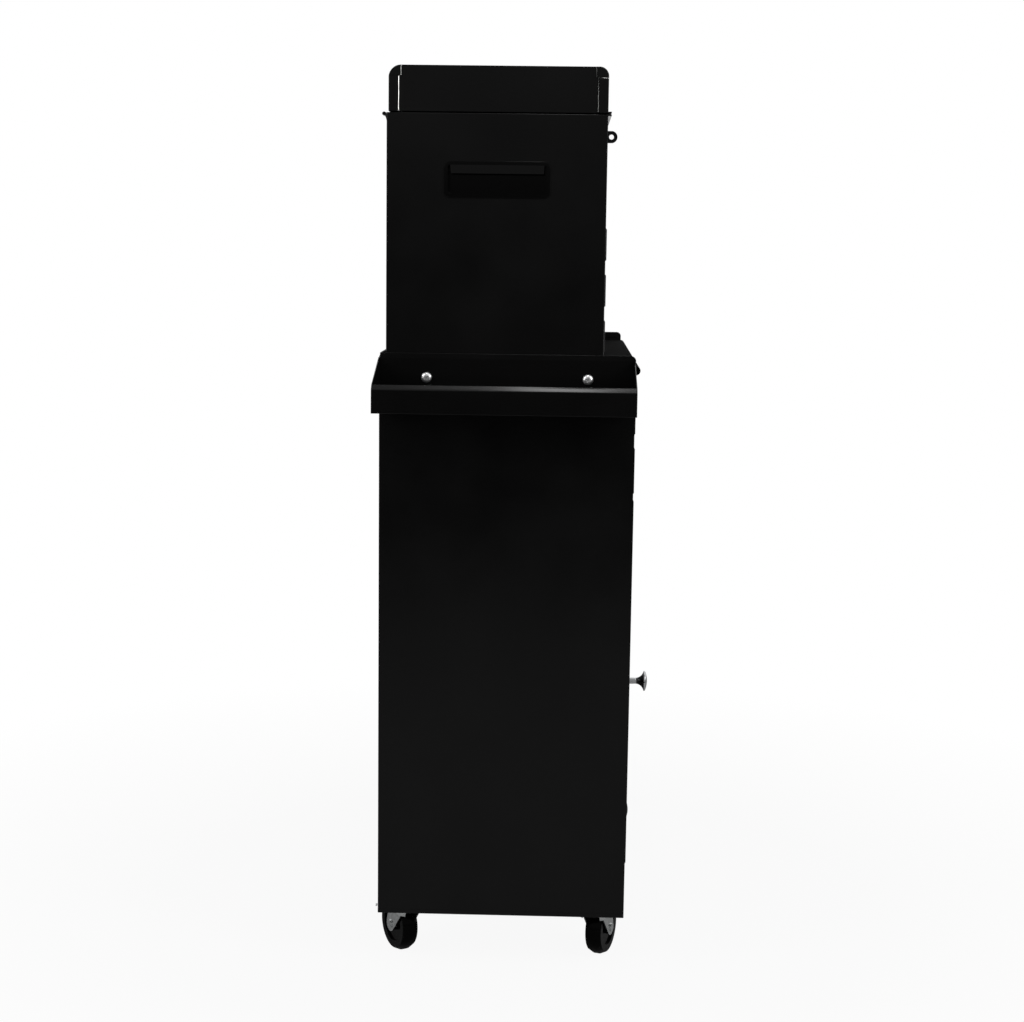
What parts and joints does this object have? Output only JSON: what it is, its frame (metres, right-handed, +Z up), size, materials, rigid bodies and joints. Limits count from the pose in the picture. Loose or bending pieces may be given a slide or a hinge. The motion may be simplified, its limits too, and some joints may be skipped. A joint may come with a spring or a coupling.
{
  "type": "rolling tool cabinet with top chest",
  "caption": "Black steel rolling tool cabinet: a cupboard with drawers on swivel casters, a lift-off top chest with a lidded till, and a side tray.",
  "frame": {"origin": "on the floor, at the middle of the whole footprint, with the side tray, the door knob and the screw heads counted", "axes": "+Z up, -Y is the front with the drawers and the door, +X to the right of someone who faces the front; the tray is on the -X side"},
  "size_m": [0.698, 0.3372, 1.1123],
  "materials": {
    "black_powder_coat": "semi-gloss black powder coat on sheet steel",
    "zinc_plated_steel": "bright zinc plated steel",
    "chrome": "polished chrome plate",
    "black_wheel_plastic": "solid moulded wheel, satin black",
    "black_handle_plastic": "moulded black plastic",
    "black_rubber": "matt black rubber"
  },
  "bodies": {
    "cabinet": {"side_panel_left": "black_powder_coat", "side_panel_right": "black_powder_coat", "back_panel": "black_powder_coat", "top_panel": "black_powder_coat", "bottom_panel": "black_powder_coat", "plinth": "black_powder_coat", "drawer_deck": "black_powder_coat", "base_slides": "zinc_plated_steel", "shelf": "black_powder_coat", "shelf_clips": "zinc_plated_steel", "side_tray": "black_powder_coat", "tray_fasteners": "zinc_plated_steel", "caster_plates": "zinc_plated_steel", "caster_bolts": "zinc_plated_steel", "magnet_catch": "black_handle_plastic", "door_pivots": "zinc_plated_steel", "pan_screws": "zinc_plated_steel"},
    "door": {"door_panel": "black_powder_coat", "door_knob": "chrome", "knob_screw": "zinc_plated_steel", "strike_plate": "zinc_plated_steel"},
    "chest": {"chest_side_left": "black_powder_coat", "chest_side_right": "black_powder_coat", "chest_back": "black_powder_coat", "chest_bottom": "black_powder_coat", "till_front": "black_powder_coat", "till_floor": "black_powder_coat", "chest_slides": "zinc_plated_steel", "handle_cups": "black_handle_plastic", "padlock_staple": "zinc_plated_steel", "chest_feet": "black_rubber", "hinge_lower": "black_powder_coat"},
    "lid": {"lid_shell": "black_powder_coat", "lid_ends": "black_powder_coat", "hinge_upper": "zinc_plated_steel", "hasp_bracket": "zinc_plated_steel"},
    "hasp": {"hasp_strap": "zinc_plated_steel"},
    "chest_drawer_1": {"chest_drawer_1_front": "black_powder_coat", "chest_drawer_1_box": "black_powder_coat"},
    "chest_drawer_2": {"chest_drawer_2_front": "black_powder_coat", "chest_drawer_2_box": "black_powder_coat"},
    "chest_drawer_3": {"chest_drawer_3_front": "black_powder_coat", "chest_drawer_3_box": "black_powder_coat"},
    "base_drawer_1": {"base_drawer_1_front": "black_powder_coat", "base_drawer_1_box": "black_powder_coat"},
    "base_drawer_2": {"base_drawer_2_front": "black_powder_coat", "base_drawer_2_box": "black_powder_coat"},
    "fork_front_left": {"caster_fork_front_left": "zinc_plated_steel", "caster_axle_front_left": "zinc_plated_steel"},
    "wheel_front_left": {"caster_wheel_front_left": "black_wheel_plastic"},
    "fork_back_left": {"caster_fork_back_left": "zinc_plated_steel", "caster_axle_back_left": "zinc_plated_steel"},
    "wheel_back_left": {"caster_wheel_back_left": "black_wheel_plastic"},
    "fork_front_right": {"caster_fork_front_right": "zinc_plated_steel", "caster_axle_front_right": "zinc_plated_steel"},
    "wheel_front_right": {"caster_wheel_front_right": "black_wheel_plastic"},
    "fork_back_right": {"caster_fork_back_right": "zinc_plated_steel", "caster_axle_back_right": "zinc_plated_steel"},
    "wheel_back_right": {"caster_wheel_back_right": "black_wheel_plastic"}
  },
  "joints": [
    {"name": "chest_lift", "type": "slide", "parent": "cabinet", "child": "chest", "axis": [0, 0, 1], "range_m": [0, 0.1]},
    {"name": "lid_hinge", "type": "hinge", "parent": "chest", "child": "lid", "pos_m": [0.044, 0.16242, 1.0571], "axis": [-1, 0, 0], "range_deg": [0, 95]},
    {"name": "hasp_swing", "type": "hinge", "parent": "lid", "child": "hasp", "pos_m": [0.044, -0.10808, 1.0634], "axis": [1, 0, 0], "range_deg": [0, 180]},
    {"name": "door_hinge", "type": "hinge", "parent": "cabinet", "child": "door", "pos_m": [0.3295, -0.14083, 0.36785], "axis": [0, 0, 1], "range_deg": [0, 110]},
    {"name": "chest_drawer_1_slide", "type": "slide", "parent": "chest", "child": "chest_drawer_1", "axis": [0, -1, 0], "range_m": [0, 0.165]},
    {"name": "chest_drawer_2_slide", "type": "slide", "parent": "chest", "child": "chest_drawer_2", "axis": [0, -1, 0], "range_m": [0, 0.165]},
    {"name": "chest_drawer_3_slide", "type": "slide", "parent": "chest", "child": "chest_drawer_3", "axis": [0, -1, 0], "range_m": [0, 0.165]},
    {"name": "base_drawer_1_slide", "type": "slide", "parent": "cabinet", "child": "base_drawer_1", "axis": [0, -1, 0], "range_m": [0, 0.2]},
    {"name": "base_drawer_2_slide", "type": "slide", "parent": "cabinet", "child": "base_drawer_2", "axis": [0, -1, 0], "range_m": [0, 0.2]},
    {"name": "swivel_front_left", "type": "hinge", "parent": "cabinet", "child": "fork_front_left", "pos_m": [-0.216, -0.10858, 0.08213], "axis": [0, 0, 1], "continuous": true},
    {"name": "roll_front_left", "type": "hinge", "parent": "fork_front_left", "child": "wheel_front_left", "pos_m": [-0.19251, -0.11713, 0.035], "axis": [0.342, 0.9397, 0], "continuous": true},
    {"name": "swivel_back_left", "type": "hinge", "parent": "cabinet", "child": "fork_back_left", "pos_m": [-0.216, 0.13042, 0.08213], "axis": [0, 0, 1], "continuous": true},
    {"name": "roll_back_left", "type": "hinge", "parent": "fork_back_left", "child": "wheel_back_left", "pos_m": [-0.19457, 0.1433, 0.035], "axis": [-0.515, 0.8572, 0], "continuous": true},
    {"name": "swivel_front_right", "type": "hinge", "parent": "cabinet", "child": "fork_front_right", "pos_m": [0.304, -0.10858, 0.08213], "axis": [0, 0, 1], "continuous": true},
    {"name": "roll_front_right", "type": "hinge", "parent": "fork_front_right", "child": "wheel_front_right", "pos_m": [0.304, -0.13358, 0.035], "axis": [1, 0, 0], "continuous": true},
    {"name": "swivel_back_right", "type": "hinge", "parent": "cabinet", "child": "fork_back_right", "pos_m": [0.304, 0.13042, 0.08213], "axis": [0, 0, 1], "continuous": true},
    {"name": "roll_back_right", "type": "hinge", "parent": "fork_back_right", "child": "wheel_back_right", "pos_m": [0.3092, 0.10597, 0.035], "axis": [0.9781, 0.2079, 0], "continuous": true}
  ]
}
